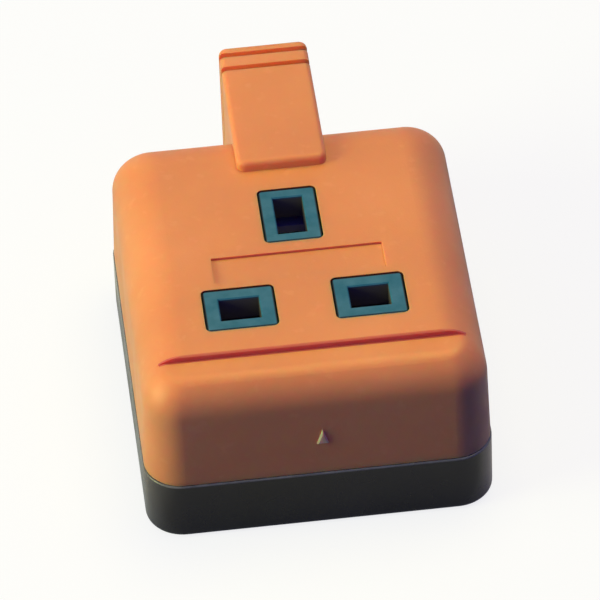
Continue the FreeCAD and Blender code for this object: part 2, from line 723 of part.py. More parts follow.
def make_socket_insert():
    body = new_body("socket_insert")
    plate = new_sketch(body, "plate", offset=INSERT_UNDER)
    rounded_rectangle(plate, "-insert_width / 2", INSERT_FRONT, "insert_width / 2",
                      INSERT_REAR, "2 * collar_round")
    pad(body, plate, "insert_plate")
    collars = new_sketch(body, "collars", offset=f"{CEILING} - insert_plate / 2")
    collar_outlines(collars)
    pad(body, collars, "roof + insert_plate / 2 - collar_sink")
    skirts = new_sketch(body, "skirts", offset=RETAINER_TOP)
    for sign in ("-", ""):
        inner, outer = f"{sign}(insert_width / 2 - skirt_wall)", f"{sign}insert_width / 2"
        west, east = (outer, inner) if sign else (inner, outer)
        rectangle(skirts, west, INSERT_FRONT, east, CAM_FRONT)
    pad(body, skirts, f"{INSERT_UNDER} - {RETAINER_TOP} + insert_plate / 2")
    ears = new_sketch(body, "ears", offset=RETAINER_TOP)
    for sign in ("-", ""):
        inner = f"{sign}(insert_width / 2 - skirt_wall)"
        outer = f"{sign}{EAR_TIP}"
        west, east = (outer, inner) if sign else (inner, outer)
        rectangle(ears, west, f"{EAR} - ear_width / 2", east, f"{EAR} + ear_width / 2")
    pad(body, ears, "ear_plate")
    lug = new_sketch(body, "lug", offset=f"{SPRING_LEVEL} - spring_diameter / 2")
    rectangle(lug, f"-{SLOT_SIDE} + lug_gap", LUG_FRONT, f"{SLOT_SIDE} - lug_gap", LUG_REAR)
    pad(body, lug, "spring_diameter + shutter_gap + insert_plate / 2")
    peg = new_sketch(body, "peg", "XZ_Plane", f"-({LUG_REAR} - lug_length / 2)")
    circle(peg, "0", SPRING_LEVEL, "peg_diameter / 2")
    pad(body, peg, "peg_reach + lug_length / 2", backwards=True)
    slots = new_sketch(body, "pin_slots", offset="body_height")
    pin_slots(slots)
    pocket(body, slots, "body_height - base_height")
    bore_through(body, "ear_holes", ear_places(), f"{EAR_TOP} + 1", "ear_plate + 2",
                 "insert_screw / 2 + screw_clearance / 2")
    dress(body, "Chamfer", "collar_edges", "collar_chamfer",
          at_level("body_height - collar_sink"))
    return body


def make_shutter():
    body = new_body("shutter")
    side = "(insert_width / 2 - skirt_wall - shutter_side_gap)"
    arm = f"({SLOT_SIDE} + shutter_arm)"
    frame = new_sketch(body, "frame", offset=SHUTTER_UNDER)
    polygon(frame, [
        (f"-{side}", BAR_FRONT), (side, BAR_FRONT), (side, BAR_REAR), (arm, BAR_REAR),
        (arm, CAM_FRONT), ("cam_width / 2", CAM_FRONT), ("cam_width / 2", CAM_CREST),
        ("-cam_width / 2", CAM_CREST), ("-cam_width / 2", CAM_FRONT),
        (f"-{arm}", CAM_FRONT), (f"-{arm}", BAR_REAR), (f"-{side}", BAR_REAR),
    ])
    rectangle(frame, f"-{SLOT_SIDE}", BAR_REAR, SLOT_SIDE, f"{CAM_FRONT} - shutter_plate")
    pad(body, frame, "shutter_plate")
    # The cam is a wedge that the earth pin's nose pushes towards the front
    cam = new_sketch(body, "cam", "YZ_Plane", "-cam_width / 2")
    polygon(cam, [
        (f"{CAM_FRONT} - shutter_plate", SHUTTER_TOP), (CAM_CREST, SHUTTER_TOP),
        (CAM_REAR, CAM_UNDER), (CAM_FRONT, CAM_UNDER),
        (f"{CAM_FRONT} - shutter_plate", f"{SPRING_LEVEL} - spring_diameter / 2"),
    ])
    pad(body, cam, "cam_width")
    peg = new_sketch(body, "peg", "XZ_Plane", f"-({CAM_FRONT} - shutter_plate / 2)")
    circle(peg, "0", SPRING_LEVEL, "peg_diameter / 2")
    pad(body, peg, "peg_reach + shutter_plate / 2")
    return body


def make_shutter_retainer():
    body = new_body("shutter_retainer")
    plate = new_sketch(body, "plate", offset=RETAINER_UNDER)
    edge = "insert_width / 2"
    near, far = f"{EAR} - ear_width / 2", f"{EAR} + ear_width / 2"
    polygon(plate, [
        (f"-{edge}", INSERT_FRONT), (edge, INSERT_FRONT), (edge, near), (EAR_TIP, near),
        (EAR_TIP, far), (edge, far), (edge, INSERT_REAR), (f"-{edge}", INSERT_REAR),
        (f"-{edge}", far), (f"-{EAR_TIP}", far), (f"-{EAR_TIP}", near), (f"-{edge}", near),
    ])
    for side in (f"-{LINE}", LINE):
        rectangle(plate, f"{side} - line_slot_width / 2 - retainer_margin",
                  f"{ROW} - line_slot_length / 2 - retainer_margin",
                  f"{side} + line_slot_width / 2 + retainer_margin",
                  f"{ROW} + line_slot_length / 2 + retainer_margin")
    rectangle(plate, "-cam_width / 2 - retainer_margin", f"{LUG_FRONT} - retainer_margin",
              "cam_width / 2 + retainer_margin",
              f"{EARTH} + earth_slot_length / 2 + retainer_margin")
    pad(body, plate, "retainer_plate")
    bore_through(body, "ear_holes", ear_places(), RETAINER_TOP, "retainer_plate",
                 "insert_screw / 2 + screw_clearance / 2")
    return body


def make_shutter_spring():
    """A compression spring between the insert's lug and the shutter's cam."""
    room = f"({CAM_FRONT} - shutter_plate - {LUG_REAR})"
    coil = doc.addObject("Part::Helix", "spring_path")
    coil.setExpression("Radius", bound("(spring_diameter - spring_wire) / 2"))
    coil.setExpression("Height", bound(f"{room} - spring_wire - cam_gap"))
    coil.setExpression("Pitch", bound(f"({room} - spring_wire - cam_gap) / spring_turns"))
    wire = doc.addObject("Part::Circle", "spring_section")
    wire.setExpression("Radius", bound("spring_wire / 2"))
    start = Vector(number("(spring_diameter - spring_wire) / 2"), 0, 0)
    wire.Placement = Placement(start, Rotation(Vector(1, 0, 0), 90))
    spring = doc.addObject("Part::Sweep", "shutter_spring")
    spring.Label = "shutter_spring"
    spring.Sections = [wire]
    spring.Spine = (coil, [])
    spring.Solid = True
    spring.Frenet = True
    seat = Vector(0, number(f"{LUG_REAR} + spring_wire / 2 + cam_gap / 2"), number(SPRING_LEVEL))
    spring.Placement = Placement(seat, Rotation(Vector(1, 0, 0), -90))
    return spring


def gripping_leaves(sketch, middle):
    """Two sprung leaves with a narrow waist and a flared mouth, joined at the foot."""
    waist = "(contact_top - contact_waist_drop)"
    shoulder = "(contact_top - contact_shoulder_drop)"
    side = [
        ("contact_open + contact_metal", "seat_level"),
        ("contact_open + contact_metal", shoulder),
        ("contact_waist + contact_metal", waist),
        ("contact_flare + contact_metal", "contact_top"),
        ("contact_flare", "contact_top"),
        ("contact_waist", waist),
        ("contact_open", shoulder),
        ("contact_open", STRIP_TOP),
    ]
    points = [(f"{middle} + ({across})", up) for across, up in side]
    points += [(f"{middle} - ({across})", up) for across, up in reversed(side)]
    polygon(sketch, points)


def make_line_contact(label, side):
    body = new_body(label)
    leaves = new_sketch(body, "leaves", "YZ_Plane", f"{side} - line_contact_width / 2")
    gripping_leaves(leaves, ROW)
    pad(body, leaves, "line_contact_width")
    strip = new_sketch(body, "strip", offset="seat_level")
    rectangle(strip, f"{side} - strip_width / 2", f"{ROW} + contact_open",
              f"{side} + strip_width / 2", f"{LINE_TERMINAL} + terminal_side / 2")
    pad(body, strip, "contact_metal")
    bore_through(body, "fixing_hole", [(side, f"{ROW} + fixing_reach")], STRIP_TOP,
                 "contact_metal", "fixing_screw / 2 + screw_clearance / 2")
    return body


def make_earth_contact():
    body = new_body("earth_contact")
    leaves = new_sketch(body, "leaves", "XZ_Plane", f"-{EARTH} - earth_contact_width / 2")
    gripping_leaves(leaves, "0")
    pad(body, leaves, "earth_contact_width")
    strip = new_sketch(body, "strip", offset="seat_level")
    rectangle(strip, "-strip_width / 2",
              f"{EARTH} - earth_fixing_reach - fixing_head / 2", "strip_width / 2",
              f"{EARTH_TERMINAL} + terminal_side / 2")
    pad(body, strip, "contact_metal")
    bore_through(body, "fixing_hole", [("0", f"{EARTH} - earth_fixing_reach")], STRIP_TOP,
                 "contact_metal", "fixing_screw / 2 + screw_clearance / 2")
    return body


def make_band(label, across, along, half_wide, half_long):
    """A steel band, open at the front, that keeps a contact's leaves together."""
    body = new_body(label)
    sketch = new_sketch(body, "band", offset="band_level")
    wide, long = f"({half_wide} + band_gap)", f"({half_long} + band_gap)"
    polygon(sketch, [
        (f"{across} - {wide} / 2", f"{along} - {long} - band_metal"),
        (f"{across} - {wide} / 2", f"{along} - {long}"),
        (f"{across} - {wide}", f"{along} - {long}"),
        (f"{across} - {wide}", f"{along} + {long}"),
        (f"{across} + {wide}", f"{along} + {long}"),
        (f"{across} + {wide}", f"{along} - {long}"),
        (f"{across} + {wide} / 2", f"{along} - {long}"),
        (f"{across} + {wide} / 2", f"{along} - {long} - band_metal"),
        (f"{across} + {wide} + band_metal", f"{along} - {long} - band_metal"),
        (f"{across} + {wide} + band_metal", f"{along} + {long} + band_metal"),
        (f"{across} - {wide} - band_metal", f"{along} + {long} + band_metal"),
        (f"{across} - {wide} - band_metal", f"{along} - {long} - band_metal"),
    ])
    pad(body, sketch, "band_tall")
    return body


def make_terminal(label, across, along):
    """A brass block with a hole for the wire and a threaded hole from above."""
    body = new_body(label)
    block = new_sketch(body, "block", offset=STRIP_TOP)
    half = "terminal_side / 2"
    rectangle(block, f"{across} - {half}", f"{along} - {half}", f"{across} + {half}",
              f"{along} + {half}")
    pad(body, block, "terminal_tall")
    wire = new_sketch(body, "wire_hole", "XZ_Plane", f"-({along} + {half} + 1)")
    circle(wire, across, f"{STRIP_TOP} + wire_hole_level", "wire_hole / 2")
    pocket(body, wire, "terminal_side + 2", upwards=True)
    bore_through(body, "screw_hole", [(across, along)], TERMINAL_TOP,
                 "terminal_tall - wire_hole_level + wire_hole / 2",
                 "terminal_screw / 2 + screw_clearance / 2")
    return body


def screw(body, name, places, seat, head, head_tall, shank, length, slotted_up=True):
    """Slotted screws. The head lies on the seat, and the shank goes the other way."""
    heads = new_sketch(body, f"{name}_heads", offset=seat)
    for across, along in places:
        circle(heads, across, along, f"{head} / 2")
    pad(body, heads, head_tall, backwards=not slotted_up)
    shanks = new_sketch(body, f"{name}_shanks", offset=seat)
    for across, along in places:
        circle(shanks, across, along, f"{shank} / 2")
    pad(body, shanks, length, backwards=slotted_up)
    outer = f"{seat} + {head_tall}" if slotted_up else f"{seat} - {head_tall}"
    slots = new_sketch(body, f"{name}_slots", offset=outer)
    for across, along in places:
        rectangle(slots, f"{across} - {head} / 2 - 1", f"{along} - slot_width / 2",
                  f"{across} + {head} / 2 + 1", f"{along} + slot_width / 2")
    pocket(body, slots, "slot_depth", upwards=not slotted_up)
    level = number(outer)

    def rim(edge):
        flat = abs(edge.BoundBox.ZMin - level) < 0.01 and abs(edge.BoundBox.ZMax - level) < 0.01
        return flat and edge.Curve.TypeId == "Part::GeomCircle"
    dress(body, "Chamfer", f"{name}_rims", "screw_clearance * 3", rim)
    return body


def make_screw(label, places, seat, head, head_tall, shank, length, slotted_up=True):
    """One node of like screws: each is a solid of its own, so they are joined loosely."""
    if len(places) == 1:
        return screw(new_body(label), label, places, seat, head, head_tall, shank, length,
                     slotted_up)
    singles = []
    for index, place in enumerate(places, start=1):
        single = new_body(f"{label}_{index}")
        singles.append(screw(single, f"{label}_{index}", [place], seat, head, head_tall,
                             shank, length, slotted_up))
    group = doc.addObject("Part::Compound", label)
    group.Label = label
    group.Links = singles
    return group


def make_case_bushes():
    """Threaded brass bushes pressed into the cover's bosses for the case screws."""
    singles = []
    for index, (across, along) in enumerate(case_screw_places(), start=1):
        body = new_body(f"case_bush_{index}")
        ring = new_sketch(body, f"bush_{index}", offset=BOSS_UNDER)
        circle(ring, across, along, "bush_diameter / 2")
        circle(ring, across, along, "case_screw / 2 + screw_clearance / 2")
        pad(body, ring, "bush_length")
        singles.append(body)
    group = doc.addObject("Part::Compound", "case_bushes")
    group.Label = "case_bushes"
    group.Links = singles
    return group


def make_cord_clamp_bar():
    body = new_body("cord_clamp_bar")
    sketch = new_sketch(body, "bar", "XZ_Plane", f"-{CLAMP} - clamp_length / 2")
    low = "(clamp_post_top + seat_gap)"
    arch = "(cord_bore / 2 + seat_gap)"
    tip = "(clamp_span / 2 + clamp_end)"
    bridge = "(clamp_span / 2 - clamp_screw_head / 2 - seat_gap)"
    points = [
        (tip, low), (tip, f"{low} + clamp_plate"), (bridge, f"{low} + clamp_plate"),
        (f"{bridge} - clamp_arch / 2", f"{low} + clamp_plate + clamp_arch"),
    ]
    under = [(f"{arch} - clamp_arch / 2", f"{low} + clamp_arch"), (arch, low)]
    mirrored = [(f"-({across})", up) for across, up in reversed(points)]
    polygon(sketch, points + mirrored + [(f"-{arch}", low),
            (f"-({arch} - clamp_arch / 2)", f"{low} + clamp_arch")] + under)
    pad(body, sketch, "clamp_length")
    bore_through(body, "screw_holes", clamp_places(), f"{low} + clamp_plate",
                 "clamp_plate", "clamp_screw / 2 + screw_clearance / 2")
    return body


def build():
    pieces = [make_top_cover(), make_base(), make_socket_insert(), make_shutter(),
              make_shutter_retainer(), make_shutter_spring()]
    poles = [("line", LINE), ("neutral", f"(-{LINE})")]
    for name, side in poles:
        pieces.append(make_line_contact(f"{name}_contact", side))
        pieces.append(make_band(f"{name}_contact_band", side, ROW, "line_contact_width / 2",
                                "(contact_open + contact_metal)"))
        pieces.append(make_terminal(f"{name}_terminal", side, LINE_TERMINAL))
    pieces.append(make_earth_contact())
    pieces.append(make_band("earth_contact_band", "0", EARTH,
                            "(contact_open + contact_metal)", "earth_contact_width / 2"))
    pieces.append(make_terminal("earth_terminal", "0", EARTH_TERMINAL))
    for name, side, along in (("line", LINE, LINE_TERMINAL),
                              ("neutral", f"(-{LINE})", LINE_TERMINAL),
                              ("earth", "0", EARTH_TERMINAL)):
        pieces.append(make_screw(
            f"{name}_terminal_screw", [(side, along)], f"({TERMINAL_TOP} + head_gap)",
            "terminal_screw_head", "terminal_head_tall", "terminal_screw",
            "terminal_tall - wire_hole_level + wire_hole / 2"))
    pieces.append(make_screw("contact_fixing_screws", fixing_places(), STRIP_TOP,
                             "fixing_head", "fixing_head_tall", "fixing_screw",
                             "seat_level + contact_metal - base_floor - 2 * hole_clearance"))
    pieces.append(make_screw("insert_screws", ear_places(), RETAINER_UNDER,
                             "insert_screw_head", "terminal_head_tall", "insert_screw",
                             f"{EAR_TOP} - {RETAINER_UNDER} + insert_screw_bite",
                             slotted_up=False))
    pieces.append(make_cord_clamp_bar())
    pieces.append(make_screw("cord_clamp_screws", clamp_places(),
                             "(clamp_post_top + seat_gap + clamp_plate)",
                             "clamp_screw_head", "terminal_head_tall", "clamp_screw",
                             "clamp_screw_length + clamp_plate - seat_gap"))
    pieces.append(make_screw("case_screws", case_screw_places(),
                             "(case_head_sink + case_head_tall)", "case_head",
                             "case_head_tall", "case_screw", "case_screw_length",
                             slotted_up=False))
    pieces.append(make_case_bushes())
    return pieces


def check(pieces):
    """Stop if any object of the document failed or any piece is not a sound solid."""
    for item in doc.Objects:
        if "Invalid" in item.State or "Error" in item.State:
            raise RuntimeError(f"{item.Label} ({item.Name}) failed: {item.State}")
    for cut in doc.findObjects("PartDesign::Pocket"):
        if cut.Shape.Volume > cut.BaseFeature.Shape.Volume - 0.01:
            raise RuntimeError(f"{cut.Label} cuts nothing")
    for piece in pieces:
        shape = piece.Shape
        if shape.isNull() or not shape.isValid() or not shape.Solids:
            raise RuntimeError(f"{piece.Label} has no valid solid")


def export(pieces):
    os.makedirs("parts", exist_ok=True)
    for piece in pieces:
        piece.Shape.exportStep(f"parts/{piece.Label}.step")
        print(piece.Label, len(piece.Shape.Solids), round(piece.Shape.Volume, 2))


pieces = build()
doc.recompute()
check(pieces)
export(pieces)
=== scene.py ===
import json
import math

import bmesh
import bpy
from mathutils import Matrix, Vector


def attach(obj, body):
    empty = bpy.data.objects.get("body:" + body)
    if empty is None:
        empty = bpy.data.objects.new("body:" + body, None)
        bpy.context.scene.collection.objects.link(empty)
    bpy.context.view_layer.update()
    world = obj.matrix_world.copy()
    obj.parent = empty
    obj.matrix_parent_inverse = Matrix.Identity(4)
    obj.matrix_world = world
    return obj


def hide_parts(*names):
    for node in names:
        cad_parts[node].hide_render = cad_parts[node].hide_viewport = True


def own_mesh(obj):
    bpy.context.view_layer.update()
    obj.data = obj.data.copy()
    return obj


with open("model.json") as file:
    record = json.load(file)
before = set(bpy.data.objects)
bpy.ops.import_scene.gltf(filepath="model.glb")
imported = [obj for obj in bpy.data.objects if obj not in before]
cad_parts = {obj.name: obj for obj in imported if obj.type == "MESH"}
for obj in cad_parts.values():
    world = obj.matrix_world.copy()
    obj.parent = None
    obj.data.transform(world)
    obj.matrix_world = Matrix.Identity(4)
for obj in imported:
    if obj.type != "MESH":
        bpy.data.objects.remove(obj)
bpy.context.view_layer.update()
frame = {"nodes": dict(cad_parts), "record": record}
nodes = frame["nodes"]

# Places and sizes below are in metres, and angles in degrees
BLACK = (0.0, 0.0, 0.0, 1.0)
WHITE = (1.0, 1.0, 1.0, 1.0)

# The photograph's camera, solved from the three apertures and the outline
CAMERA_PLACE = (-0.07214, -0.828585, 0.790936)
CAMERA_AZIMUTH = -5.059
CAMERA_ELEVATION = 43.085
CAMERA_ROLL = -2.331
CAMERA_LENS = 391.03
CAMERA_REACH = (0.01, 20.0)
SENSOR_WIDTH = 36.0

# Light: a low soft lamp from the left and a high one from behind, in a dim bluish room
KEY_LAMP = {"azimuth": -81, "elevation": 22, "distance": 1.2, "size": 0.7, "power": 13.6,
            "tint": (1.0, 1.07, 0.4)}
HIGH_LAMP = {"azimuth": 150, "elevation": 78, "distance": 1.3, "size": 1.0, "power": 13.3,
             "tint": (1.0, 0.89, 0.2)}
ROOM_LIGHT = 0.07
ROOM_TINT = (0.1, 0.1, 7.0, 1.0)
ROOM_GLOSS = 0.6
ROOM_GLOSS_TINT = (0.45, 0.7, 1.3, 1.0)

# The floor: how white the camera sees it, and how bright it is to reflections and other light
FLOOR_SIZE = 3.0
FLOOR_GAP = 0.0001
FLOOR_TONES = [(0.3, (0.86, 0.88, 0.98, 1.0)), (0.7, (0.9, 0.92, 1.0, 1.0))]
FLOOR_WHITE = 0.82
FLOOR_BOUNCE = 0.03
FLOOR_GLOSS = 0.8
FLOOR_GLOSS_TINT = (0.95, 1.0, 1.2, 1.0)

# In front of the object the floor fades to a dimmer reflection, between these places
FLOOR_GLOSS_FRONT = 0.45
FLOOR_FRONT_X = (-0.04, -0.03)
FLOOR_FRONT_Y = (-0.044, -0.04)

# The pin apertures and their collars, as the solids have them: places, then half widths and lengths
LINE_PLACE = (0.0111125, -0.02305)
EARTH_PLACE = -0.000825
LINE_SLOT = (0.0036, 0.00275)
EARTH_SLOT = (0.0027, 0.0047)
LINE_COLLAR = (0.006075, 0.00495)
EARTH_COLLAR = (0.004925, 0.0066)
# Painted shade on a band this wide at each collar's edge, and in the pin ways below the rim, fading in
# over this height
COLLAR_EDGE = 0.0003
COLLAR_RIM = 0.034
COLLAR_FADE = 0.0005

# The walls of the cover's windows, in the gap round the collars, which get painted shade
WINDOW_WALL = 0.00023
WINDOW_LEVEL = 0.03412

# The small mark on the front wall, which gets a painted highlight
MARK_MIDDLE = (0.0004, 0.0204)
MARK_SIZE = (0.0014, 0.0021)
MARK_ROOT = -0.04196

# The step's face at the front of the top, painted a darker red as painted shade, which fades at its upper
# edge
STEP_PLACE = -0.0336
STEP_MIDDLE = 0.0335
STEP_FACE = (0.0004, 0.0008)
STEP_FADE = (0.0338, 0.0342)
STEP_LEAST = 0.3

# The bare recess of the top, whose walls except the right one get painted shade
RECESS_MIDDLE = -0.0132
RECESS_SIZE = (0.01475, 0.0031)
RECESS_WALL = 0.00005
RECESS_LEVEL = 0.03415

# The base's upper edge, which gets a patchy painted highlight, as far back as the case goes
BASE_RIM_BAND = (0.01152, 0.01168)
BASE_RIM_TOP = 0.01195
BASE_REAR = 0.0243

# How deep the grain, the dents and the brush marks are
COARSE_GRAIN = 0.00002
FINE_GRAIN = 0.000015
COVER_DENTS = 0.00006
BRUSH_MARKS = 0.000008


def colour(red, green, blue):
    """A colour from its usual 0 to 255 values, as the shader's linear values."""
    def linear(value):
        share = value / 255
        return share / 12.92 if share <= 0.04045 else ((share + 0.055) / 1.055) ** 2.4
    return (linear(red), linear(green), linear(blue), 1.0)


def direction(azimuth, elevation):
    """Which way a camera or lamp lies from the object. Azimuth 0 is the front."""
    turn, rise = math.radians(azimuth), math.radians(elevation)
    return Vector((
        math.sin(turn) * math.cos(rise),
        -math.cos(turn) * math.cos(rise),
        math.sin(rise),
    ))


def make_camera():
    data = bpy.data.cameras.new("camera")
    data.lens = CAMERA_LENS
    data.sensor_width = SENSOR_WIDTH
    data.clip_start, data.clip_end = CAMERA_REACH
    camera = bpy.data.objects.new("camera", data)
    bpy.context.scene.collection.objects.link(camera)
    camera.location = CAMERA_PLACE
    back = direction(CAMERA_AZIMUTH, CAMERA_ELEVATION)
    look = (-back).to_track_quat("-Z", "Y").to_matrix().to_4x4()
    roll = Matrix.Rotation(math.radians(CAMERA_ROLL), 4, "Z")
    camera.rotation_mode = "QUATERNION"
    camera.rotation_quaternion = (look @ roll).to_quaternion()
    bpy.context.scene.camera = camera


class Nodes:
    """A short way to write a material's node tree."""

    def __init__(self, name):
        self.material = bpy.data.materials.new(name)
        self.material.use_nodes = True
        self.tree = self.material.node_tree
        self.shader = self.tree.nodes["Principled BSDF"]
        self.output = self.tree.nodes["Material Output"]
        self.place = self.add("ShaderNodeTexCoord").outputs["Object"]

    def add(self, kind, **settings):
        node = self.tree.nodes.new(kind)
        for key, value in settings.items():
            setattr(node, key, value)
        return node

    def link(self, start, end):
        self.tree.links.new(start, end)

    def fill(self, node, **values):
        """Sets a node's inputs by name, with an underscore for each space."""
        for key, value in values.items():
            node.inputs[key.replace("_", " ")].default_value = value

    def axes(self):
        """The place on the object, split into its X, Y and Z."""
        split = self.add("ShaderNodeSeparateXYZ")
        self.link(self.place, split.inputs["Vector"])
        return split.outputs

    def noise(self, scale, detail, roughness=0.5, stretch=None):
        """A cloudy value, which a stretch draws out along an axis."""
        node = self.add("ShaderNodeTexNoise")
        self.fill(node, Scale=scale, Detail=detail, Roughness=roughness)
        source = self.place
        if stretch:
            mapping = self.add("ShaderNodeMapping")
            self.fill(mapping, Scale=stretch)
            self.link(source, mapping.inputs["Vector"])
            source = mapping.outputs["Vector"]
        self.link(source, node.inputs["Vector"])
        return node.outputs["Fac"]

    def ramp(self, source, stops):
        """Colours between positions along a value."""
        node = self.add("ShaderNodeValToRGB")
        bar = node.color_ramp
        while len(bar.elements) < len(stops):
            bar.elements.new(0.5)
        for element, (position, value) in zip(bar.elements, stops):
            element.position = position
            element.color = value
        self.link(source, node.inputs["Fac"])
        return node.outputs["Color"]

    def spread(self, source, old, new):
        """A value moved from its old low and high to new ones, and held there."""
        node = self.add("ShaderNodeMapRange")
        self.fill(node, From_Min=old[0], From_Max=old[1], To_Min=new[0], To_Max=new[1])
        self.link(source, node.inputs["Value"])
        return node.outputs["Result"]

    def math(self, operation, first, second=None):
        """One sum on a value and a second value, which may be a plain number."""
        node = self.add("ShaderNodeMath", operation=operation)
        self.link(first, node.inputs[0])
        if isinstance(second, (int, float)):
            node.inputs[1].default_value = second
        elif second:
            self.link(second, node.inputs[1])
        return node.outputs["Value"]

    def off(self, value, middle):
        """How far a value lies from its middle, to either side."""
        return self.math("ABSOLUTE", self.math("SUBTRACT", value, middle))

    def below(self, value, limit):
        """1 where a value is less than the limit, 0 elsewhere."""
        return self.math("LESS_THAN", value, limit)

    def both(self, first, second):
        """1 where two shares are both 1, and their product elsewhere."""
        return self.math("MULTIPLY", first, second)

    def within(self, across, along, half_size):
        """1 inside a rectangle of the given half width and half length, 0 outside."""
        return self.both(self.below(across, half_size[0]), self.below(along, half_size[1]))

    def blend(self, share, first, second):
        """One colour at share 0 and another at share 1. Each is a socket or a plain colour."""
        node = self.add("ShaderNodeMix", data_type="RGBA")
        self.link(share, node.inputs[0])
        for socket, value in ((node.inputs[6], first), (node.inputs[7], second)):
            if isinstance(value, tuple):
                socket.default_value = value
            else:
                self.link(value, socket)
        return node.outputs[2]

    def layer(self, share, first, second):
        """One shader at share 0 and another at share 1. The share may be a plain number."""
        node = self.add("ShaderNodeMixShader")
        if isinstance(share, float):
            self.fill(node, Fac=share)
        else:
            self.link(share, node.inputs["Fac"])
        self.link(first, node.inputs[1])
        self.link(second, node.inputs[2])
        return node.outputs["Shader"]

    def bump(self, source, distance):
        """Raises the surface by a value, on top of any bump that it has already."""
        node = self.add("ShaderNodeBump")
        self.fill(node, Strength=1.0, Distance=distance)
        self.link(source, node.inputs["Height"])
        old = self.shader.inputs["Normal"].links
        if old:
            self.link(old[0].from_socket, node.inputs["Normal"])
        self.link(node.outputs["Normal"], self.shader.inputs["Normal"])


def near_apertures(made, line_half, earth_half):
    """1 inside a rectangle round each of the three apertures, 0 elsewhere."""
    axes = made.axes()
    across = made.math("ABSOLUTE", axes["X"])
    off_line = made.off(across, LINE_PLACE[0])
    off_row = made.off(axes["Y"], LINE_PLACE[1])
    off_earth = made.off(axes["Y"], EARTH_PLACE)
    line_near = made.within(off_line, off_row, line_half)
    earth_near = made.within(across, off_earth, earth_half)
    return made.math("MAXIMUM", line_near, earth_near)


def grown(half_size, step):
    """A half width and half length, both larger by one step."""
    return (half_size[0] + step, half_size[1] + step)


def mark_highlight_share(made):
    """1 on the small three-sided mark of the front wall, where a painted highlight goes, 0 elsewhere."""
    axes = made.axes()
    across = made.off(axes["X"], MARK_MIDDLE[0])
    up = made.off(axes["Z"], MARK_MIDDLE[1])
    return made.both(made.within(across, up, MARK_SIZE), made.below(axes["Y"], MARK_ROOT))


def step_shade_share(made):
    """1 on the step's face at the front of the top, where painted shade goes, less at its upper edge, 0
    elsewhere.
    """
    axes = made.axes()
    along = made.off(axes["Y"], STEP_PLACE)
    up = made.off(axes["Z"], STEP_MIDDLE)
    level = made.spread(axes["Z"], old=STEP_FADE, new=(1.0, STEP_LEAST))
    return made.both(made.within(along, up, STEP_FACE), level)


def recess_shade_share(made):
    """1 on the walls of the bare recess except the right one, where painted shade goes, 0 elsewhere."""
    axes = made.axes()
    across = made.math("ABSOLUTE", axes["X"])
    along = made.off(axes["Y"], RECESS_MIDDLE)
    outer = made.within(across, along, grown(RECESS_SIZE, RECESS_WALL))
    inner = made.within(across, along, grown(RECESS_SIZE, -RECESS_WALL))
    wall = made.math("SUBTRACT", outer, inner)
    left = made.below(axes["X"], RECESS_SIZE[0] - RECESS_WALL)
    return made.both(made.both(wall, left), made.below(axes["Z"], RECESS_LEVEL))


def window_shade_share(made):
    """1 on the walls of the cover's windows, in the thin gap round each collar, where painted shade goes.
    """
    near = near_apertures(made, grown(LINE_COLLAR, WINDOW_WALL), grown(EARTH_COLLAR, WINDOW_WALL))
    return made.both(near, made.below(made.axes()["Z"], WINDOW_LEVEL))


def base_rim_highlight_share(made):
    """Up to 1 in patches along the upper edge of the base, where a painted highlight goes, 0 elsewhere."""
    axes = made.axes()
    highlight_patches = made.spread(made.noise(scale=260.0, detail=3.0, roughness=0.6), old=(0.3, 0.6), new=(0.35, 1.0))
    up = made.spread(axes["Z"], old=BASE_RIM_BAND, new=(0.0, 1.0))
    band = made.both(up, made.below(axes["Z"], BASE_RIM_TOP))
    case = made.both(made.below(axes["Y"], BASE_REAR), highlight_patches)
    return made.both(band, case)


def cover_plastic(name):
    """Orange plastic that lets light in a little, so shaded edges glow red, with painted shade on its
    step, recess walls and window walls, and a painted highlight on its small mark.
    """
    made = Nodes(name)
    clouds = made.noise(scale=38.0, detail=4.0, roughness=0.55)
    specks = made.noise(scale=420.0, detail=2.0)
    tone = made.ramp(clouds, [(0.3, colour(220, 136, 84)), (0.5, colour(226, 142, 86)),
                              (0.72, colour(232, 148, 94))])
    fleck = made.spread(specks, old=(0.62, 0.72), new=(0.0, 0.25))
    tone = made.blend(fleck, tone, colour(236, 158, 108))
    # Painted highlight: a pale colour on the small mark
    tone = made.blend(mark_highlight_share(made), tone, colour(232, 190, 150))
    # Painted shade: a darker red on the step's face
    tone = made.blend(step_shade_share(made), tone, colour(206, 90, 80))
    # Painted shade on the recess walls
    tone = made.blend(recess_shade_share(made), tone, colour(196, 104, 84))
    # Painted shade on the window walls round the collars
    tone = made.blend(window_shade_share(made), tone, colour(84, 50, 46))
    made.link(tone, made.shader.inputs["Base Color"])
    gloss = made.noise(scale=130.0, detail=3.0)
    rough = made.spread(gloss, old=(0.3, 0.7), new=(0.42, 0.54))
    made.link(rough, made.shader.inputs["Roughness"])
    made.fill(made.shader, Specular_IOR_Level=0.4, Subsurface_Weight=1.0, Subsurface_Scale=0.0025,
              Subsurface_Radius=(1.0, 0.3, 0.12))
    made.bump(made.noise(scale=2400.0, detail=2.0), distance=COARSE_GRAIN)
    made.bump(made.noise(scale=160.0, detail=2.0), distance=COVER_DENTS)
    return made.material


def moulded_plastic(name, dark, light, rough=(0.38, 0.5), rim_highlight=None):
    """Satin plastic with faint clouds, fine grain and uneven gloss, and a patchy painted highlight along
    its rim if it has one.
    """
    made = Nodes(name)
    clouds = made.noise(scale=45.0, detail=4.0, roughness=0.55)
    tone = made.ramp(clouds, [(0.35, dark), (0.65, light)])
    # A patchy painted highlight along the rim, if one is given
    if rim_highlight:
        tone = made.blend(base_rim_highlight_share(made), tone, rim_highlight)
    made.link(tone, made.shader.inputs["Base Color"])
    gloss = made.noise(scale=135.0, detail=2.0)
    made.link(made.spread(gloss, old=(0.35, 0.65), new=rough), made.shader.inputs["Roughness"])
    made.bump(made.noise(scale=2600.0, detail=2.0), distance=COARSE_GRAIN)
    return made.material


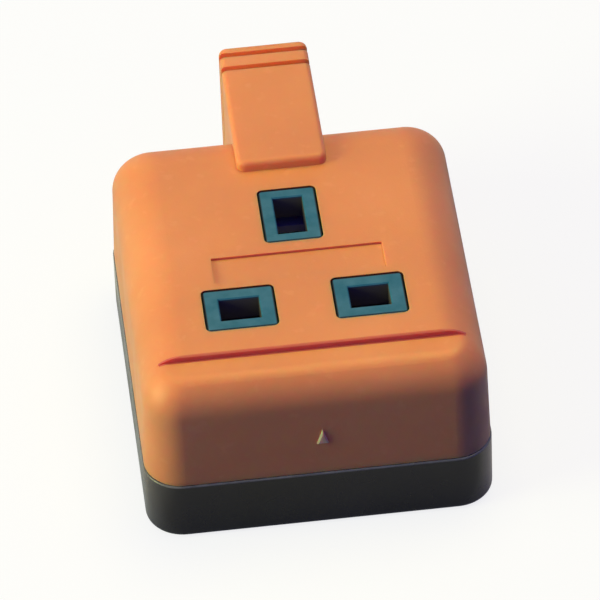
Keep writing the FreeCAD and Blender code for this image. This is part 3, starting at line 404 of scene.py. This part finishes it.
def framed_plastic(name, dark, light, edge, pin_way_shade):
    """Satin plastic whose collars have edges painted darker as painted shade, and whose pin ways are
    painted dark further down as painted shade.
    """
    made = Nodes(name)
    clouds = made.noise(scale=420.0, detail=4.0, roughness=0.6)
    face = made.ramp(clouds, [(0.3, dark), (0.7, light)])
    inner = near_apertures(made, grown(LINE_COLLAR, -COLLAR_EDGE), grown(EARTH_COLLAR, -COLLAR_EDGE))
    # Painted shade: a darker band at each collar's edge
    face = made.blend(inner, edge, face)
    # Painted shade: the pin ways darker further down
    ways = near_apertures(made, LINE_SLOT, EARTH_SLOT)
    deep = made.spread(made.axes()["Z"], old=(COLLAR_RIM - COLLAR_FADE, COLLAR_RIM), new=(1.0, 0.0))
    made.link(made.blend(made.both(ways, deep), face, pin_way_shade), made.shader.inputs["Base Color"])
    gloss = made.noise(scale=210.0, detail=2.0)
    rough = made.spread(gloss, old=(0.35, 0.65), new=(0.34, 0.46))
    made.link(rough, made.shader.inputs["Roughness"])
    made.bump(made.noise(scale=2400.0, detail=2.0), distance=FINE_GRAIN)
    return made.material


def metal(name, dark, light):
    """Drawn or turned metal, with colour and gloss brushed one way."""
    made = Nodes(name)
    made.fill(made.shader, Metallic=1.0)
    brush = made.noise(scale=900.0, detail=3.0, roughness=0.6, stretch=(1.0, 1.0, 12.0))
    made.link(made.ramp(brush, [(0.3, dark), (0.7, light)]), made.shader.inputs["Base Color"])
    rough = made.spread(brush, old=(0.3, 0.7), new=(0.25, 0.4))
    made.link(rough, made.shader.inputs["Roughness"])
    made.bump(brush, distance=BRUSH_MARKS)
    return made.material


def make_materials():
    """One material for each slot of the record."""
    return {
        "cover_plastic": cover_plastic("orange_plastic"),
        # The black base's pale rim colour is a painted highlight
        "base_plastic": moulded_plastic(
            "black_plastic", colour(28, 26, 27), colour(36, 33, 35), rough=(0.22, 0.3),
            rim_highlight=colour(112, 108, 106)),
        # The teal's edge and pin way colours are painted shade
        "insert_plastic": framed_plastic(
            "teal_plastic", colour(8, 88, 111), colour(40, 102, 129),
            edge=colour(12, 42, 52), pin_way_shade=colour(88, 82, 76)),
        "shutter_plastic": moulded_plastic(
            "shutter_plastic", colour(60, 55, 52), colour(68, 62, 58), rough=(0.4, 0.5)),
        "retainer_plastic": moulded_plastic(
            "ivory_plastic", colour(206, 202, 190), colour(216, 212, 200)),
        "clamp_plastic": moulded_plastic(
            "grey_plastic", colour(150, 146, 138), colour(164, 160, 152)),
        "spring_steel": metal("spring_steel", colour(150, 150, 152), colour(196, 196, 198)),
        "contact_brass": metal("rolled_brass", colour(196, 158, 84), colour(220, 184, 108)),
        "terminal_brass": metal("turned_brass", colour(200, 164, 92), colour(226, 192, 118)),
        "screw_brass": metal("screw_brass", colour(204, 168, 96), colour(230, 198, 124)),
        "screw_steel": metal("plated_steel", colour(170, 170, 172), colour(206, 206, 208)),
    }


def dress_nodes(materials):
    """Gives every solid the material of its slot."""
    for entry in frame["record"]["subparts"]:
        node = nodes[entry["node"]]
        node.data.materials.clear()
        node.data.materials.append(materials[entry["material_slot"]])


def make_spring(material):
    """The shutter's return spring, as a copy of its solid fixed to the root."""
    mesh = nodes["shutter_spring"].data.copy()
    mesh.materials.clear()
    mesh.materials.append(material)
    spring = bpy.data.objects.new("return_spring", mesh)
    bpy.context.scene.collection.objects.link(spring)
    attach(spring, "root")
    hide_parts("shutter_spring")
    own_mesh(spring)


def floor_seen(made):
    """The floor that the camera sees, pale and lit from within, with a soft shadow."""
    tone = made.noise(scale=3.0, detail=2.0)
    made.link(made.ramp(tone, FLOOR_TONES), made.shader.inputs["Base Color"])
    made.fill(made.shader, Roughness=0.9, Specular_IOR_Level=0.1)
    glow = made.add("ShaderNodeEmission")
    return made.layer(FLOOR_WHITE, made.shader.outputs["BSDF"], glow.outputs["Emission"])


def floor_mirrored(made, reflection):
    """The floor that the object meets: bright in reflections, less in front, dark otherwise."""
    axes = made.axes()
    right = made.spread(axes["X"], old=FLOOR_FRONT_X, new=(0.0, 1.0))
    ahead = made.spread(axes["Y"], old=FLOOR_FRONT_Y, new=(1.0, 0.0))
    front = made.both(right, ahead)
    gloss = made.spread(front, old=(0.0, 1.0), new=(FLOOR_GLOSS, FLOOR_GLOSS_FRONT))
    level = made.math("MAXIMUM", made.both(gloss, reflection), FLOOR_BOUNCE)
    dim = made.add("ShaderNodeBsdfDiffuse")
    made.link(made.blend(level, BLACK, FLOOR_GLOSS_TINT), dim.inputs["Color"])
    return dim.outputs["BSDF"]


def floor_material():
    """A floor for the camera and another for reflections, and neither from below."""
    made = Nodes("pale_floor")
    path = made.add("ShaderNodeLightPath").outputs
    mirrored = floor_mirrored(made, path["Is Glossy Ray"])
    above = made.layer(path["Is Camera Ray"], mirrored, floor_seen(made))
    underside = made.add("ShaderNodeNewGeometry").outputs["Backfacing"]
    clear = made.add("ShaderNodeBsdfTransparent").outputs["BSDF"]
    made.link(made.layer(underside, above, clear), made.output.inputs["Surface"])
    return made.material


def make_floor():
    """A floor just under the object, which isn't part of it."""
    mesh = bpy.data.meshes.new("floor")
    grid = bmesh.new()
    bmesh.ops.create_grid(grid, x_segments=1, y_segments=1, size=FLOOR_SIZE)
    grid.to_mesh(mesh)
    grid.free()
    floor = bpy.data.objects.new("floor", mesh)
    floor.location.z = -FLOOR_GAP
    bpy.context.scene.collection.objects.link(floor)
    floor.data.materials.append(floor_material())


def area_light(name, azimuth, elevation, distance, size, power, tint):
    """A round soft lamp that points at the object."""
    data = bpy.data.lights.new(name, "AREA")
    data.shape = "DISK"
    data.size = size
    data.energy = power
    data.color = tint
    light = bpy.data.objects.new(name, data)
    bpy.context.scene.collection.objects.link(light)
    back = direction(azimuth, elevation)
    light.location = back * distance
    light.rotation_mode = "QUATERNION"
    light.rotation_quaternion = (-back).to_track_quat("-Z", "Y")


def make_room():
    """Dim light from all round, brighter in reflections, and a white backdrop for the camera."""
    world = bpy.data.worlds.new("studio")
    bpy.context.scene.world = world
    world.use_nodes = True
    tree = world.node_tree

    def background(node, tint, strength):
        node.inputs["Color"].default_value = tint
        node.inputs["Strength"].default_value = strength
        return node.outputs["Background"]

    def choose(ray, other, chosen):
        mix = tree.nodes.new("ShaderNodeMixShader")
        tree.links.new(path.outputs[ray], mix.inputs["Fac"])
        tree.links.new(other, mix.inputs[1])
        tree.links.new(chosen, mix.inputs[2])
        return mix.outputs["Shader"]

    path = tree.nodes.new("ShaderNodeLightPath")
    room = background(tree.nodes["Background"], ROOM_TINT, ROOM_LIGHT)
    mirrored = background(tree.nodes.new("ShaderNodeBackground"), ROOM_GLOSS_TINT, ROOM_GLOSS)
    backdrop = background(tree.nodes.new("ShaderNodeBackground"), WHITE, 1.0)
    lit = choose("Is Glossy Ray", room, mirrored)
    seen = choose("Is Camera Ray", lit, backdrop)
    tree.links.new(seen, tree.nodes["World Output"].inputs["Surface"])


bpy.context.scene.view_settings.view_transform = "Standard"
make_camera()
make_floor()
make_room()
area_light("key", **KEY_LAMP)
area_light("high", **HIGH_LAMP)
materials = make_materials()
dress_nodes(materials)
make_spring(materials["spring_steel"])
